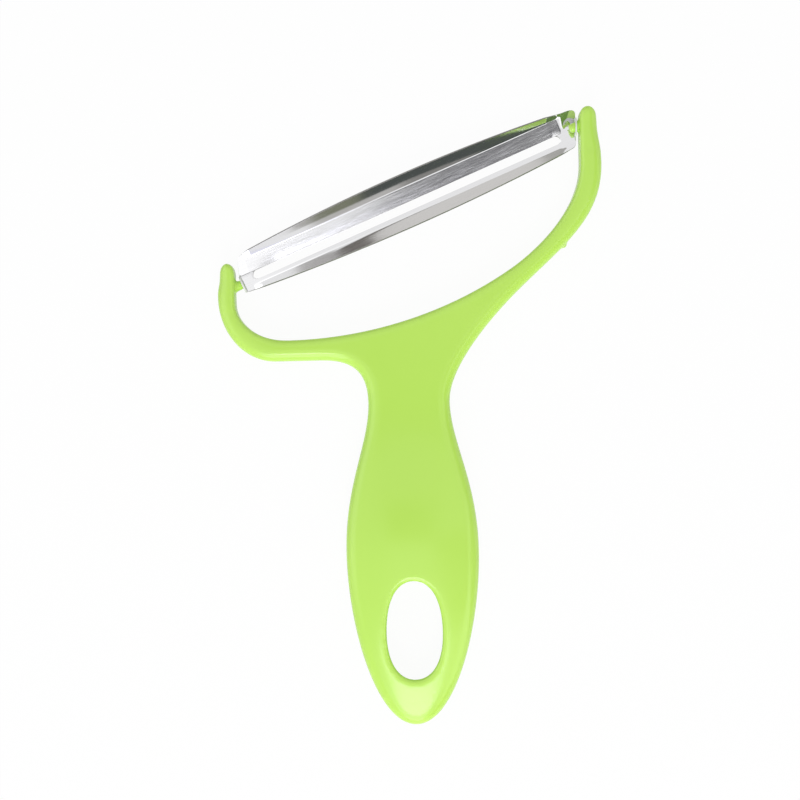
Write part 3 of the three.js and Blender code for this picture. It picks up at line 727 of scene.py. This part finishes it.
    def fade_edges(self, tree, paper, tone):
        """Lets the brightness fall from halfway out to the sky's white at the card's edges."""
        paper.inputs["Color"].default_value = (*(value / max(tone) for value in tone), 1.0)
        where = node(tree, "ShaderNodeTexCoord")
        parts = node(tree, "ShaderNodeSeparateXYZ")
        tree.links.new(where.outputs["Object"], parts.inputs["Vector"])
        outward = node(tree, "ShaderNodeMath")
        outward.operation = "MAXIMUM"
        for axis in (0, 1):
            distance = node(tree, "ShaderNodeMath")
            distance.operation = "ABSOLUTE"
            tree.links.new(parts.outputs[axis], distance.inputs[0])
            tree.links.new(distance.outputs[0], outward.inputs[axis])
        fall = node(tree, "ShaderNodeMapRange", From_Min=FALL_END, From_Max=FALL_START,
                    To_Min=1.0, To_Max=max(tone))
        fall.interpolation_type = "SMOOTHSTEP"
        tree.links.new(outward.outputs[0], fall.inputs["Value"])
        tree.links.new(fall.outputs["Result"], paper.inputs["Strength"])

    def light(self, context, s):
        """Soft white light all round and two softboxes beyond the grip."""
        world = bpy.data.worlds.new("soft_sky")
        world.use_nodes = True
        tree = world.node_tree
        sky = tree.nodes["Background"]
        sky.inputs["Color"].default_value = (1.0, 1.0, 1.0, 1.0)
        strength = node(tree, "ShaderNodeMapRange", To_Min=s.sky, To_Max=1.0)
        tree.links.new(self.seen_by_eye(tree, 1.0, 1.0), strength.inputs["Value"])
        tree.links.new(strength.outputs["Result"], sky.inputs["Strength"])
        context.scene.world = world
        self.softbox(context, "key_softbox", s.key, spot=(0.0, -0.62, 0.80), size=(0.34, 0.42))
        self.softbox(context, "low_softbox", s.low, spot=(-0.08, -1.02, 0.42), size=(0.60, 0.62))

    def softbox(self, context, name, brightness, spot, size):
        """A rectangle of even brightness that faces the tool; shining cards give its mirror image."""
        lamp = bpy.data.lights.new(name, "AREA")
        lamp.shape = "RECTANGLE"
        lamp.size, lamp.size_y = size
        lamp.energy = brightness * math.pi * size[0] * size[1]
        box = bpy.data.objects.new(name, lamp)
        box.location = spot
        box.rotation_euler = Vector(spot).to_track_quat("Z", "Y").to_euler()
        box.visible_glossy = False
        context.scene.collection.objects.link(box)

    def camera(self, context, s):
        """Looks straight down from the photograph's place."""
        lens = bpy.data.cameras.new("camera")
        lens.lens = s.lens
        lens.sensor_width = 36.0
        lens.clip_start = 0.01
        eye = bpy.data.objects.new("camera", lens)
        eye.location = (s.camera_right, s.camera_up, s.camera_height)
        eye.rotation_euler = (0.0, 0.0, -s.camera_roll)
        context.scene.collection.objects.link(eye)
        context.scene.camera = eye
        context.scene.view_settings.view_transform = "Standard"


class VIEW3D_PT_slicer(bpy.types.Panel):
    """Settings and steps of the slicer's looks"""

    bl_label = "Slicer"
    bl_idname = "VIEW3D_PT_slicer"
    bl_space_type = "VIEW_3D"
    bl_region_type = "UI"
    bl_category = "Slicer"

    def draw(self, context):
        layout = self.layout
        scene = context.scene
        for operator, settings in (("slicer.handle", scene.slicer_handle),
                                   ("slicer.blade", scene.slicer_blade),
                                   ("slicer.stage", scene.slicer_stage)):
            box = layout.box()
            for name in settings.bl_rna.properties.keys():
                if name not in {"rna_type", "name"}:
                    box.prop(settings, name)
            box.operator(operator)


CLASSES = (
    SLICER_PG_handle, SLICER_PG_blade, SLICER_PG_stage,
    SLICER_OT_handle, SLICER_OT_blade, SLICER_OT_stage,
    VIEW3D_PT_slicer,
)


def register():
    for item in CLASSES:
        bpy.utils.register_class(item)
    bpy.types.Scene.slicer_handle = PointerProperty(type=SLICER_PG_handle)
    bpy.types.Scene.slicer_blade = PointerProperty(type=SLICER_PG_blade)
    bpy.types.Scene.slicer_stage = PointerProperty(type=SLICER_PG_stage)


def unregister():
    del bpy.types.Scene.slicer_stage
    del bpy.types.Scene.slicer_blade
    del bpy.types.Scene.slicer_handle
    for item in reversed(CLASSES):
        bpy.utils.unregister_class(item)


def main():
    register()
    bpy.ops.slicer.handle()
    bpy.ops.slicer.blade()
    bpy.ops.slicer.stage()


if __name__ == "__main__":
    main()
